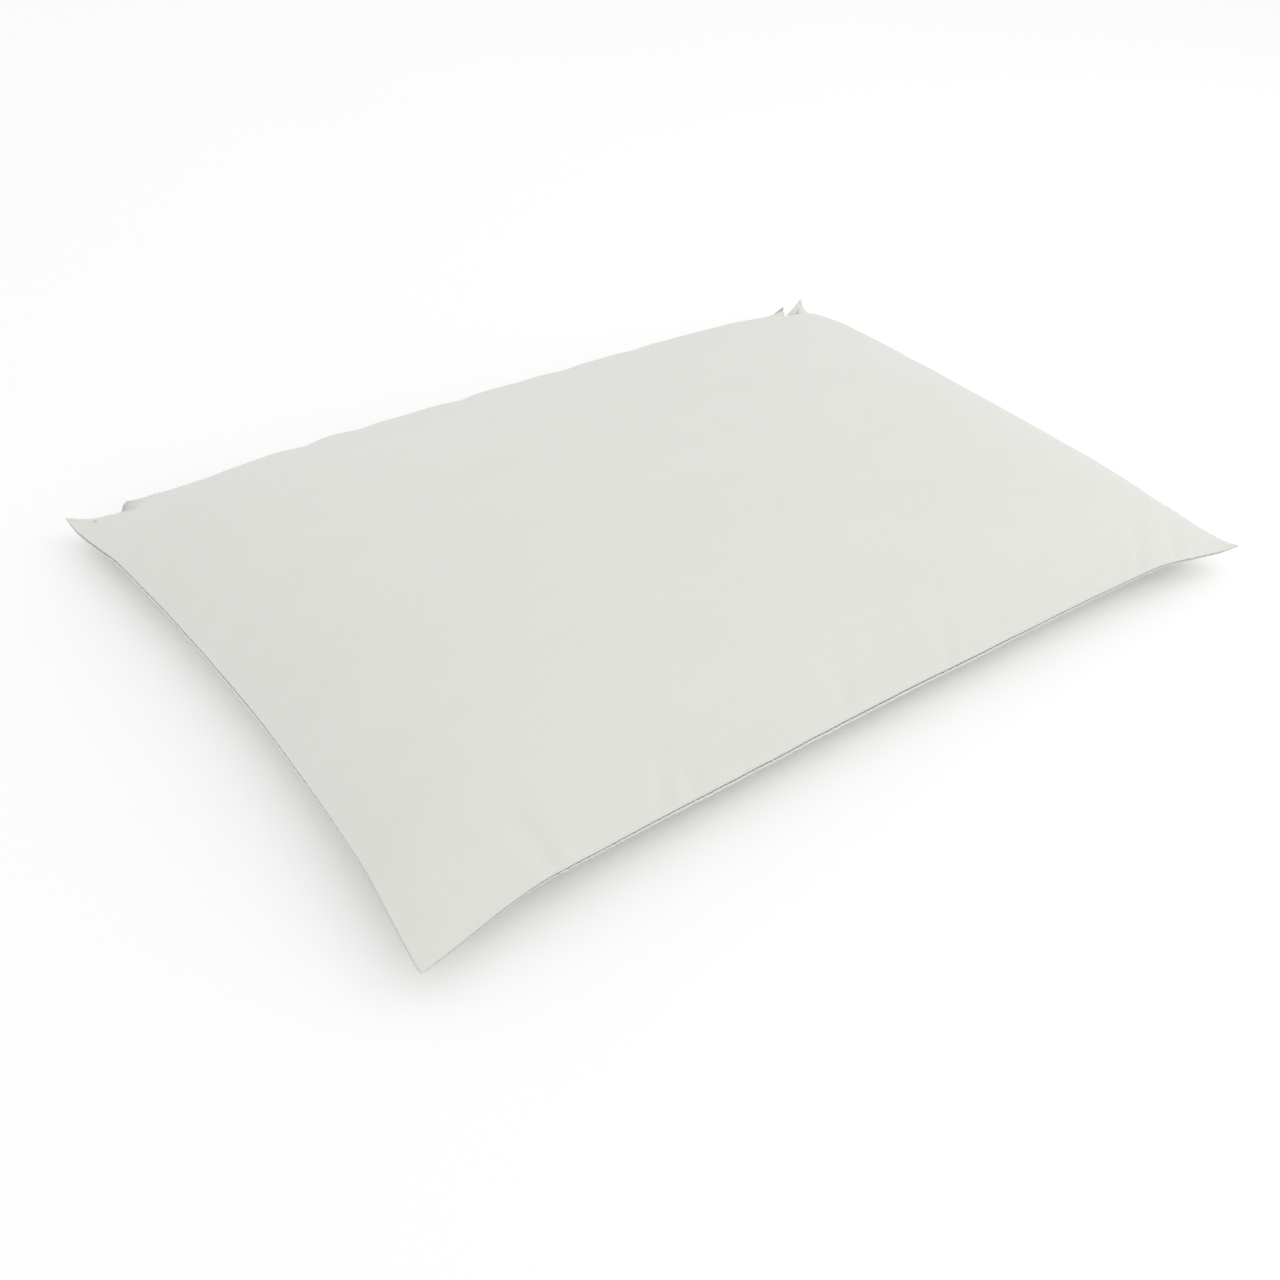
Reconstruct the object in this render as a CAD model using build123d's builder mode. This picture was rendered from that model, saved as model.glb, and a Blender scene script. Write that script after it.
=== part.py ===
from build123d import *
from math import atan2, degrees
import os

# Bed pillow, 50 x 70 cm, lying flat on its lower face.
# X runs along the long edges, Y along the short ones, +Z up, millimetres.
# Origin: middle of the resting face. The zip is in the long edge on the +Y side.

# ---- pillow ----
length = 712.0            # corner to corner along X
width = 490.0             # corner to corner along Y
loft = 92.0               # height of the crown above the bed
seam_height = 22.0        # height of the edge seam along each side
short_pull_in = 10.0      # how far the short edges draw in between their corners
long_pull_in = 9.0        # how far the long edges do
flare_length = 35.0       # from a corner to where the straight part of an edge starts
flare_power = 12          # how sharply the faces widen with the corners
flare_spare = 2.0         # the faces reach this far beyond the corner tips
crown_power_x = 6         # how square the top is, end to end
crown_power_y = 4         # and front to back
belly_power_x = 10        # the same for the lower face
belly_power_y = 6
belly_dip = 3.0           # the lower face would sink this far, were it not pressed flat
cover_fabric = 0.8
ticking_fabric = 0.5
seam_gap = 1.2            # room for the thread between two panels' edges
inner_margin = 14.0       # the inner pillow's seam, inside the cover's seam
top_ease = 2.0            # looseness between the cover and the inner pillow
bottom_ease = 0.5
fill_ease = 0.5
fill_margin = 2.5         # the fibre stops this far inside the inner pillow's seam
face_columns = 25         # points that each spline face is fitted through
face_rows = 19

# ---- thread and label ----
thread = 0.5
stitch_length = 7.0
stitch_pitch = 12.0
stitch_inset = 0.9        # middle of the thread, inside the seam line
zip_stitch_length = 2.8
zip_stitch_height = 8.0   # the rows that hold the zip, above and below its middle
label_length = 35.0
label_depth = 10.0
label_thickness = 0.4
label_y = -60.0

# ---- zip ----
zip_half = 308.0          # half the length of the coil rows
zip_margin = 5.0          # tape beyond the last coil
zip_depth = 6.0           # outer face of the tapes, inside the cover's edge
opening_half_height = 6.0 # the panels are folded back this far from the zip's middle
opening_depth = 14.0
tape_thickness = 0.5
tape_gap = 0.6            # tape's inner edge, from the zip's middle
tape_flat = 4.2           # upright part of each tape ends here
tape_run = 9.0            # the rest runs in under the panel
tape_rise = 1.8
coil_inner = 0.65         # one row of coil, up the tape
coil_outer = 2.25
coil_depth = 1.3
stop_gap = 0.5
stop_length = 2.5
stop_outer = 2.6
stop_depth = 1.4

# ---- slider and pull ----
slider_length = 11.0
slider_front_height = 7.6
slider_back_height = 6.6
slider_plate = 0.9
running_gap = 0.3
flange_thickness = 0.9
neck_thickness = 0.7
neck_length = 3.0
lug_thickness = 1.6
lug_length = 3.2
pin_radius = 0.5
pin_length = 5.0
pin_height = 1.9          # above the slider's front plate
pin_forward = 2.5         # ahead of the slider's middle
pull_length = 27.0
pull_height = 5.4
pull_thickness = 1.1
pull_eye_radius = 1.5
pull_rest_angle = 22.0    # the tab stands off the zip by this much
hang_hole_length = 9.0
hang_hole_height = 2.4

# ---- worked out ----
half_length = length / 2
half_width = width / 2
zip_y = half_width - long_pull_in - zip_depth
inner_loft = loft - cover_fabric - top_ease
inner_floor = cover_fabric + bottom_ease
slider_x = zip_half - slider_length / 2 - 0.5
label_x = -half_length + short_pull_in + 2.5 + label_depth / 2
pin_x = slider_x + pin_forward
front_plate_y = zip_y + coil_depth + running_gap
back_plate_y = zip_y - tape_thickness - running_gap
pin_y = front_plate_y + slider_plate + pin_height
os.makedirs("parts", exist_ok=True)


def draw_outline(margin):
    """The seam's outline in plan, margin inside it: straight edges that flare at the corners."""
    corner = (half_length - margin, half_width - margin)
    straight = (half_length - short_pull_in - margin, half_width - long_pull_in - margin)
    flare_x = corner[0] - flare_length
    flare_y = corner[1] - flare_length
    for i in (-1, 1):
        Line((-flare_x, i * straight[1]), (flare_x, i * straight[1]))
        Line((i * straight[0], -flare_y), (i * straight[0], flare_y))
        for j in (-1, 1):
            tip = (i * corner[0], j * corner[1])
            Spline((i * flare_x, j * straight[1]), tip, tangents=[(i, 0), (i, j * 0.6)])
            Spline((i * straight[0], j * flare_y), tip, tangents=[(0, j), (i * 0.6, j)])


def fullness(x, y, margin, power_x, power_y):
    """1 in the middle and 0 on the seam, whose edges widen towards the corners."""
    corner_x = half_length - margin
    corner_y = half_width - margin
    widen_x = (short_pull_in + flare_spare) * (y / corner_y) ** flare_power
    widen_y = (long_pull_in + flare_spare) * (x / corner_x) ** flare_power
    u = x / (corner_x - short_pull_in + widen_x)
    v = y / (corner_y - long_pull_in + widen_y)
    return (1.0 - u ** power_x) * (1.0 - v ** power_y)


def upper(x, y, margin, crest, edge):
    """Top surface of a layer: edge above the seam, crest above the bed."""
    rise = crest - seam_height - edge
    return seam_height + edge + rise * fullness(x, y, margin, crown_power_x, crown_power_y)


def lower(x, y, margin, floor, edge):
    """Lower surface of a layer, before its middle is cut flat at the floor."""
    fall = seam_height - edge - floor + belly_dip
    return seam_height - edge - fall * fullness(x, y, margin, belly_power_x, belly_power_y)


def height_face(height, margin, level, edge, shift=0.0):
    """Spline face of a height function, over a rectangle just larger than the pillow."""
    reach_x = half_length + 2.0
    reach_y = half_width + 2.0
    points = []
    for i in range(face_columns):
        x = reach_x * (2 * i / (face_columns - 1) - 1)
        row = []
        for j in range(face_rows):
            y = reach_y * (2 * j / (face_rows - 1) - 1)
            row.append((x, y, height(x, y, margin, level, edge) + shift))
        points.append(row)
    return Face.make_surface_from_array_of_points(points, tol=0.15)


# ---- cover: two cotton panels that meet at the edge seam and at the zip ----
zip_opening = Pos(0, half_width - long_pull_in, seam_height) * Box(
    2 * (zip_half + zip_margin), 2 * opening_depth, 2 * opening_half_height
)
cover_edge = cover_fabric + seam_gap / 2
cover_top = height_face(upper, 0.0, loft, cover_edge)
cover_under = height_face(lower, 0.0, 0.0, cover_edge)
cover_lining = height_face(lower, 0.0, 0.0, cover_edge, shift=cover_fabric)

with BuildPart() as cover_top_panel:
    extrude(to_extrude=cover_top, amount=cover_fabric, dir=(0, 0, -1))
    with BuildSketch():
        with BuildLine():
            draw_outline(0.0)
        make_face()
    extrude(amount=loft + 10, mode=Mode.INTERSECT)
    add(zip_opening, mode=Mode.SUBTRACT)
cover_top_panel.part.label = "cover_top_panel"
export_step(cover_top_panel.part, "parts/cover_top_panel.step")

with BuildPart() as cover_hollow:
    extrude(to_extrude=cover_lining, amount=loft, dir=(0, 0, 1))
    split(bisect_by=Plane.XY.offset(cover_fabric), keep=Keep.TOP)

with BuildPart() as cover_bottom_panel:
    extrude(to_extrude=cover_under, amount=seam_height, dir=(0, 0, 1))
    with BuildSketch():
        with BuildLine():
            draw_outline(0.0)
        make_face()
    extrude(amount=loft, mode=Mode.INTERSECT)
    add(cover_hollow.part, mode=Mode.SUBTRACT)
    add(zip_opening, mode=Mode.SUBTRACT)
cover_bottom_panel.part.label = "cover_bottom_panel"
export_step(cover_bottom_panel.part, "parts/cover_bottom_panel.step")


# ---- inner pillow: two ticking panels round a body of fibre ----
inner_edge = ticking_fabric + seam_gap / 2
inner_top = height_face(upper, inner_margin, inner_loft, inner_edge)
inner_under = height_face(lower, inner_margin, inner_floor, inner_edge)
inner_lining = height_face(lower, inner_margin, inner_floor, inner_edge, shift=ticking_fabric)

with BuildPart() as inner_ticking_top:
    extrude(to_extrude=inner_top, amount=ticking_fabric, dir=(0, 0, -1))
    with BuildSketch():
        with BuildLine():
            draw_outline(inner_margin)
        make_face()
    extrude(amount=loft + 10, mode=Mode.INTERSECT)
inner_ticking_top.part.label = "inner_ticking_top"
export_step(inner_ticking_top.part, "parts/inner_ticking_top.step")

with BuildPart() as ticking_hollow:
    extrude(to_extrude=inner_lining, amount=loft, dir=(0, 0, 1))
    split(bisect_by=Plane.XY.offset(inner_floor + ticking_fabric), keep=Keep.TOP)

with BuildPart() as inner_ticking_bottom:
    extrude(to_extrude=inner_under, amount=seam_height, dir=(0, 0, 1))
    with BuildSketch(Plane.XY.offset(inner_floor)):
        with BuildLine():
            draw_outline(inner_margin)
        make_face()
    extrude(amount=loft, mode=Mode.INTERSECT)
    add(ticking_hollow.part, mode=Mode.SUBTRACT)
inner_ticking_bottom.part.label = "inner_ticking_bottom"
export_step(inner_ticking_bottom.part, "parts/inner_ticking_bottom.step")

fill_gap = ticking_fabric + fill_ease
fill_floor = inner_floor + fill_gap
with BuildPart() as fibre_fill:
    extrude(to_extrude=Pos(0, 0, -fill_gap) * inner_top, amount=2 * loft, dir=(0, 0, -1))
    extrude(to_extrude=Pos(0, 0, fill_gap) * inner_under, amount=2 * loft, dir=(0, 0, 1),
            mode=Mode.INTERSECT)
    with BuildSketch(Plane.XY.offset(fill_floor)):
        with BuildLine():
            draw_outline(inner_margin + fill_margin)
        make_face()
    extrude(amount=loft, mode=Mode.INTERSECT)
fibre_fill.part.label = "fibre_fill"
export_step(fibre_fill.part, "parts/fibre_fill.step")


# ---- sewing thread: rows of short stitches ----
def seam_places(margin, zip_gap):
    """Stitch places along every edge of the seam, leaving the zip's stretch clear if asked."""
    with BuildLine() as outline:
        draw_outline(margin)
    places = []
    for edge in outline.edges():
        count = int(edge.length / stitch_pitch)
        for i in range(count):
            share = (i + 0.5) / count
            spot = edge.position_at(share)
            ahead = edge.tangent_at(share)
            at_back = spot.Y > half_width - 2 * long_pull_in
            by_zip = zip_gap and at_back and abs(spot.X) < zip_half + zip_margin + stitch_length
            at_tip = abs(spot.X) > half_length - margin - stitch_length
            at_tip = at_tip and abs(spot.Y) > half_width - margin - stitch_length
            if not (by_zip or at_tip):
                turn = degrees(atan2(ahead.Y, ahead.X))
                places.append(Location((spot.X, spot.Y, seam_height), (0, 0, turn)))
    return places


with BuildPart() as cover_seam_thread:
    with Locations(*seam_places(stitch_inset, True)):
        Box(stitch_length, thread, thread)
cover_seam_thread.part.label = "cover_seam_thread"
export_step(cover_seam_thread.part, "parts/cover_seam_thread.step")

with BuildPart() as inner_seam_thread:
    with Locations(*seam_places(inner_margin + stitch_inset, False)):
        Box(stitch_length, thread, thread)
inner_seam_thread.part.label = "inner_seam_thread"
export_step(inner_seam_thread.part, "parts/inner_seam_thread.step")


def zip_row(surface, level, side):
    """Stitch places on a panel's outer face, level and parallel to the zip."""
    places = []
    count = int(2 * zip_half / stitch_pitch)
    target = seam_height + side * zip_stitch_height
    for i in range(count):
        x = (i + 0.5 - count / 2) * stitch_pitch
        outside = half_width - long_pull_in
        inside = outside - 60.0
        for halving in range(40):
            y = (outside + inside) / 2
            if side * (surface(x, y, 0.0, level, cover_edge) - target) > 0:
                inside = y
            else:
                outside = y
        rise = surface(x, y + 0.5, 0.0, level, cover_edge) - surface(x, y - 0.5, 0.0, level, cover_edge)
        normal = Vector(0, -rise, 1).normalized() * side
        spot = Vector(x, y, target) + normal * (thread / 2 + 0.2)
        places.append(Plane(origin=spot, x_dir=(1, 0, 0), z_dir=normal))
    return places


with BuildPart() as zip_stitching_upper:
    with Locations(*zip_row(upper, loft, 1)):
        Box(zip_stitch_length, thread, thread)
zip_stitching_upper.part.label = "zip_stitching_upper"
export_step(zip_stitching_upper.part, "parts/zip_stitching_upper.step")

with BuildPart() as zip_stitching_lower:
    with Locations(*zip_row(lower, 0.0, -1)):
        Box(zip_stitch_length, thread, thread)
zip_stitching_lower.part.label = "zip_stitching_lower"
export_step(zip_stitching_lower.part, "parts/zip_stitching_lower.step")

with BuildPart() as care_label:
    with Locations((label_x, label_y, seam_height)):
        Box(label_depth, label_length, label_thickness)
care_label.part.label = "care_label"
export_step(care_label.part, "parts/care_label.step")


# ---- zip: one tape and one row of coil to each panel ----
def build_tape(side):
    """A tape: upright beside the coil, then running in under its panel."""
    with BuildPart() as tape:
        with BuildSketch(Plane.YZ.offset(-zip_half - zip_margin + 1.0)):
            with BuildLine():
                Polyline(
                    (zip_y, seam_height + side * tape_gap),
                    (zip_y, seam_height + side * tape_flat),
                    (zip_y - tape_run, seam_height + side * (tape_flat + tape_rise)),
                    (zip_y - tape_run, seam_height + side * (tape_flat + tape_rise - tape_thickness)),
                    (zip_y - tape_thickness, seam_height + side * (tape_flat - tape_thickness)),
                    (zip_y - tape_thickness, seam_height + side * tape_gap),
                    close=True,
                )
            make_face()
        extrude(amount=2 * (zip_half + zip_margin - 1.0))
    return tape.part


def build_coil(side):
    """A row of coil on its tape's outer face, rounded on the outside."""
    middle = seam_height + side * (coil_inner + coil_outer) / 2
    with BuildPart() as coil:
        with BuildSketch(Plane.YZ.offset(-zip_half)):
            with Locations((zip_y + coil_depth / 2, middle)):
                Rectangle(coil_depth, coil_outer - coil_inner)
        extrude(amount=2 * zip_half)
        fillet(coil.faces().sort_by(Axis.Y)[-1].edges().filter_by(Axis.X), 0.5)
    return coil.part


zip_tape_upper = build_tape(1)
zip_tape_lower = build_tape(-1)
zip_coil_upper = build_coil(1)
zip_coil_lower = build_coil(-1)
zip_halves = {
    "zip_tape_upper": zip_tape_upper,
    "zip_tape_lower": zip_tape_lower,
    "zip_coil_upper": zip_coil_upper,
    "zip_coil_lower": zip_coil_lower,
}
for name, piece in zip_halves.items():
    piece.label = name
    export_step(piece, f"parts/{name}.step")

with BuildPart() as zip_top_stops:
    for side in (-1, 1):
        middle = seam_height + side * (tape_gap + stop_outer) / 2
        with Locations((zip_half + stop_gap + stop_length / 2, zip_y + stop_depth / 2, middle)):
            Box(stop_length, stop_depth, stop_outer - tape_gap)
    fillet(zip_top_stops.faces().group_by(Axis.Y)[-1].edges(), 0.3)
zip_top_stops.part.label = "zip_top_stops"
export_step(zip_top_stops.part, "parts/zip_top_stops.step")

with BuildPart() as zip_bottom_stop:
    with Locations((-zip_half - stop_gap - stop_length / 2, zip_y + stop_depth / 2, seam_height)):
        Box(stop_length, stop_depth, 2 * stop_outer)
    fillet(zip_bottom_stop.faces().sort_by(Axis.Y)[-1].edges(), 0.3)
zip_bottom_stop.part.label = "zip_bottom_stop"
export_step(zip_bottom_stop.part, "parts/zip_bottom_stop.step")


# ---- slider: two plates joined by a neck that runs between the rows of coil ----
flange_base = zip_y + running_gap
flange_reach = front_plate_y + 0.2 - flange_base
with BuildPart() as zip_slider_body:
    with BuildSketch(Plane.XZ.offset(-front_plate_y)):
        with Locations((slider_x, seam_height)):
            RectangleRounded(slider_length, slider_front_height, 2.2)
    extrude(amount=-slider_plate)
    with BuildSketch(Plane.XZ.offset(-back_plate_y)):
        with Locations((slider_x, seam_height)):
            RectangleRounded(slider_length, slider_back_height, 2.2)
    extrude(amount=slider_plate)
    for side in (-1, 1):
        middle = seam_height + side * (slider_front_height - flange_thickness) / 2
        with Locations((slider_x, flange_base + flange_reach / 2, middle)):
            Box(slider_length - 4.4, flange_reach, flange_thickness)
    with Locations((pin_x, (front_plate_y + back_plate_y) / 2, seam_height)):
        Box(neck_length, front_plate_y - back_plate_y + slider_plate, neck_thickness)
    with Locations((pin_x, front_plate_y + slider_plate + pin_height / 2, seam_height)):
        Box(lug_length, pin_height + 1.8, lug_thickness)
    with Locations(Location((pin_x, pin_y, seam_height))):
        Cylinder(pin_radius, pin_length)
zip_slider_body.part.label = "zip_slider_body"
export_step(zip_slider_body.part, "parts/zip_slider_body.step")

pull_frame = Plane(origin=(pin_x, pin_y, seam_height), x_dir=(1, 0, 0), z_dir=(0, 0, 1))
pull_frame = pull_frame.rotated((0, 0, pull_rest_angle))
arm_start = lug_length / 2 + 0.9
arm_height = (pull_height - lug_thickness) / 2 - running_gap
with BuildPart() as zip_pull_tab:
    with BuildSketch(pull_frame.offset(-pull_height / 2)):
        Circle(pull_eye_radius)
        with Locations((pull_length / 2, 0)):
            Rectangle(pull_length, pull_thickness)
        with Locations((0, 0)):
            Circle(pin_radius + running_gap, mode=Mode.SUBTRACT)
    extrude(amount=pull_height)
    with BuildSketch(pull_frame.offset(-lug_thickness / 2 - running_gap)):
        with Locations((0, 0)):
            Rectangle(2 * arm_start + 1.6, 2 * arm_start + 1.6)
    extrude(amount=lug_thickness + 2 * running_gap, mode=Mode.SUBTRACT)
    with Locations(pull_frame.location * Location((pull_length - 3.0 - hang_hole_length / 2, 0, 0))):
        Box(hang_hole_length, 4 * pull_thickness, hang_hole_height, mode=Mode.SUBTRACT)
zip_pull_tab.part.label = "zip_pull_tab"
export_step(zip_pull_tab.part, "parts/zip_pull_tab.step")
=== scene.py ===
import math

import bpy
import numpy as np
from mathutils import Matrix, Vector


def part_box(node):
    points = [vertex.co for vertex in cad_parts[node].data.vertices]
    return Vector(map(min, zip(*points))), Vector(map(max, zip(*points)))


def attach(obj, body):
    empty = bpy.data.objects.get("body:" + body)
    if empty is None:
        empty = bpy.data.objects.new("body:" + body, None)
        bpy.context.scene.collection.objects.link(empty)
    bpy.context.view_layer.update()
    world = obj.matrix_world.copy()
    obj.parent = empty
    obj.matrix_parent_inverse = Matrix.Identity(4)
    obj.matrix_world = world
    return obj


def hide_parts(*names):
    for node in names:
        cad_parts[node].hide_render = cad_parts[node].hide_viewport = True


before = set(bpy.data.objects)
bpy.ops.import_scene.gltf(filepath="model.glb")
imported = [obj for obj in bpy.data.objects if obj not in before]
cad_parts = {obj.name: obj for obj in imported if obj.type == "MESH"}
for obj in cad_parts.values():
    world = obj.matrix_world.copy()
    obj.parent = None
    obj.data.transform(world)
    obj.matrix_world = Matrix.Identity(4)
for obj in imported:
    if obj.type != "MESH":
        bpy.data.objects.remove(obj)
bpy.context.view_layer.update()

scene = bpy.context.scene

# ---------- places read from the frame ----------
coverHigh = Vector(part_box("cover_top_panel")[1])
upperTapeHigh = Vector(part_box("zip_tape_upper")[1])
lowerTapeLow = Vector(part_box("zip_tape_lower")[0])
coilLow, coilHigh = [Vector(p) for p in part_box("zip_coil_upper")]
lowerCoilLow, lowerCoilHigh = [Vector(p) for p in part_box("zip_coil_lower")]
labelLow, labelHigh = [Vector(p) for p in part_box("care_label")]
halfWidth = coverHigh.y
loft = coverHigh.z
seamZ = (upperTapeHigh.z + lowerTapeLow.z) / 2
zipY = upperTapeHigh.y
zipHalf = upperTapeHigh.x


# ---------- camera, at the angle the pillow is shown from ----------
cameraSpec = {
    "eye": (-0.581, -0.6436, 0.598),
    "target": (-0.0791, -0.0637, 0.0),
    "roll": 0.0893,
    "lens": 39.97,
}


def placeCamera(spec):
    """A camera at eye looking at target, turned by roll about its own axis."""
    eye, target = Vector(spec["eye"]), Vector(spec["target"])
    forward = (target - eye).normalized()
    level = forward.cross(Vector((0, 0, 1))).normalized()
    upright = level.cross(forward)
    right = level * math.cos(spec["roll"]) + upright * math.sin(spec["roll"])
    up = upright * math.cos(spec["roll"]) - level * math.sin(spec["roll"])
    data = bpy.data.cameras.new("camera")
    data.sensor_width = 36.0
    data.lens = spec["lens"]
    data.clip_start = 0.01
    camera = bpy.data.objects.new("camera", data)
    scene.collection.objects.link(camera)
    pose = Matrix((right, up, -forward)).transposed().to_4x4()
    pose.translation = eye
    camera.matrix_world = pose
    scene.camera = camera


placeCamera(cameraSpec)
print("camera placed")


# ---------- shader expressions ----------
class Socket:
    """One output of a node, so that sums and products of sockets build their Math nodes."""

    def __init__(self, tree, output):
        self.tree = tree
        self.output = output

    def math(self, operation, other=None):
        inputs = {i: v for i, v in enumerate([self, other]) if v is not None}
        return makeNode(self.tree, "ShaderNodeMath", {"operation": operation}, inputs)

    def __add__(self, other):
        return self.math("ADD", other)

    def __radd__(self, other):
        return self.math("ADD", other)

    def __sub__(self, other):
        return self.math("SUBTRACT", other)

    def __mul__(self, other):
        return self.math("MULTIPLY", other)

    def __rmul__(self, other):
        return self.math("MULTIPLY", other)

    def sine(self):
        return self.math("SINE")

    def size(self):
        return self.math("ABSOLUTE")


def makeNode(tree, kind, settings=None, inputs=None, output=0):
    """A node of one kind: its settings first, then its sockets' values or links."""
    node = tree.nodes.new(kind)
    for name, value in (settings or {}).items():
        setattr(node, name, value)
    for name, value in (inputs or {}).items():
        if isinstance(value, Socket):
            tree.links.new(value.output, node.inputs[name])
        else:
            node.inputs[name].default_value = value
    return Socket(tree, node.outputs[output])


def newMaterial(name, constants):
    """A material whose shader has these constant values."""
    material = bpy.data.materials.new(name)
    material.use_nodes = True
    shader = material.node_tree.nodes["Principled BSDF"]
    for socket, value in constants.items():
        shader.inputs[socket].default_value = value
    return material, material.node_tree, shader


def mixColours(tree, factor, first, second):
    return makeNode(
        tree, "ShaderNodeMix", {"data_type": "RGBA"}, {0: factor, 6: first + (1,), 7: second + (1,)}, output=2
    )


# ---------- cotton of the cover ----------
cottonSpec = {
    "bright": (0.748, 0.748, 0.712),
    "shade": (0.700, 0.701, 0.664),
    "threadPitch": 0.00062,   # metres between warp threads
    "weftPitch": 0.00070,
    "weaveDepth": 0.00010,
    "slubDepth": 0.00022,
    "roughness": 0.88,
    "sheen": 0.12,
}


def cottonMaterial(name, spec):
    """Plain weave: warp and weft rise in turn, with thicker slubs here and there.

    Height is the larger of two crossed sine ridges, on the cloth's own flat coordinates.
    """
    material, tree, shader = newMaterial(
        name, {"Sheen Weight": spec["sheen"], "Sheen Roughness": 0.5, "Specular IOR Level": 0.25}
    )
    flat = makeNode(tree, "ShaderNodeUVMap", {"uv_map": "flat"})
    parts = tree.nodes.new("ShaderNodeSeparateXYZ")
    tree.links.new(flat.output, parts.inputs[0])
    along = Socket(tree, parts.outputs[0])
    across = Socket(tree, parts.outputs[1])
    warp = (along * (math.pi / spec["threadPitch"])).sine()
    weft = (across * (math.pi / spec["weftPitch"])).sine()
    weave = (warp * weft).size()

    def cloud(stretch, scale, detail):
        mapped = makeNode(tree, "ShaderNodeMapping", None, {0: flat, 3: stretch})
        return makeNode(tree, "ShaderNodeTexNoise", None, {"Vector": mapped, "Scale": scale, "Detail": detail})

    slubWeft = cloud((14.0, 520.0, 1.0), 1.0, 2.0)
    slubWarp = cloud((460.0, 18.0, 1.0), 1.0, 2.0)
    mottle = cloud((9.0, 26.0, 1.0), 1.0, 3.0)
    height = weave * spec["weaveDepth"] + (slubWeft + 0.7 * slubWarp) * spec["slubDepth"]
    bump = makeNode(tree, "ShaderNodeBump", None, {"Height": height, "Strength": 0.6, "Distance": 1.0})
    # colour mixed at random by mottle and slubs, and darker in the dips between threads where the weave is low:
    # painted shade
    toneAndWeaveShade = 0.55 * mottle + 0.3 * slubWeft + 0.15 * weave
    colour = mixColours(tree, toneAndWeaveShade, spec["shade"], spec["bright"])
    rough = spec["roughness"] + 0.08 * (mottle - 0.5)
    tree.links.new(colour.output, shader.inputs["Base Color"])
    tree.links.new(rough.output, shader.inputs["Roughness"])
    tree.links.new(bump.output, shader.inputs["Normal"])
    return material


coverCotton = cottonMaterial("cover_cotton", cottonSpec)
tickingCotton = cottonMaterial("ticking_cotton", dict(cottonSpec, threadPitch=0.0009, weftPitch=0.0009))


# ---------- cover: cloth blown up by its filling, resting on the bed ----------
coverSpec = {
    "across": 100,            # cells along X
    "deep": 70,               # cells along Y
    "flatLength": 0.724,      # the cover laid flat
    "flatWidth": 0.514,
    "pressure": 0.58,
    "frames": 34,
    "quickFrames": 8,
    "vertexMass": 0.0005,
    "fabric": 0.0008,
    "slotHalf": 0.0046,       # the panels part by this much either side of the zip
    "pinInset": 0.0012,       # zip edge stands this far outside the tapes
    "pinBeyond": 0.012,       # and is held straight this far past their ends
    "emptyFrom": (0.74, 0.66),   # where the filling starts to thin out, as shares of u and v
    "leastFill": 0.01,
    "startLoft": 0.86,        # share of the loft that the cloth starts from
    "startLift": 0.002,
    "startDroop": 0.75,
    "startClear": 0.004,
    "startDraw": 0.010,
    "ripple": 0.0001,
    "calmRounds": 3,
    "endPull": 0.013,         # the short ends draw in this much more at their middles
    "tipLift": 0.009,         # the stiff corner tips stand this much higher
}


def gridPlaces(spec):
    u, v = np.meshgrid(
        np.linspace(-1, 1, spec["across"] + 1), np.linspace(-1, 1, spec["deep"] + 1), indexing="ij"
    )
    return u, v


def gridQuads(index, flip):
    """Quads of a grid of vertex numbers, turned over when flip is true."""
    quads = np.stack([index[:-1, :-1], index[1:, :-1], index[1:, 1:], index[:-1, 1:]], -1).reshape(-1, 4)
    return quads[:, ::-1] if flip else quads


def meshObject(name, verts, faces, smooth=True):
    mesh = bpy.data.meshes.new(name)
    mesh.from_pydata(np.asarray(verts).reshape(-1, 3).tolist(), [], np.asarray(faces).tolist())
    mesh.polygons.foreach_set("use_smooth", [smooth] * len(mesh.polygons))
    mesh.update()
    thing = bpy.data.objects.new(name, mesh)
    scene.collection.objects.link(thing)
    return thing


def smoothStep(t):
    t = np.clip(t, 0, 1)
    return t * t * (3 - 2 * t)


def emptyCorner(u, v):
    """Rises to 1 at the corners, where the filling doesn't reach."""
    fromU, fromV = coverSpec["emptyFrom"]
    return smoothStep((np.abs(u) - fromU) / (1 - fromU)) * smoothStep((np.abs(v) - fromV) / (1 - fromV))


def startHeights(u, v):
    """A low dome, (1 - u^6)(1 - v^4), above and a shallower one below the seam."""
    dome = (1 - np.abs(u) ** 6) * (1 - np.abs(v) ** 4)
    belly = (1 - np.abs(u) ** 10) * (1 - np.abs(v) ** 6)
    seam = seamZ * (1 - coverSpec["startDroop"] * emptyCorner(u, v)) + coverSpec["startLift"]
    upper = seam + (loft * coverSpec["startLoft"] - seamZ) * dome
    lower = seam - (seamZ - coverSpec["startClear"]) * belly
    return upper, lower


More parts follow.
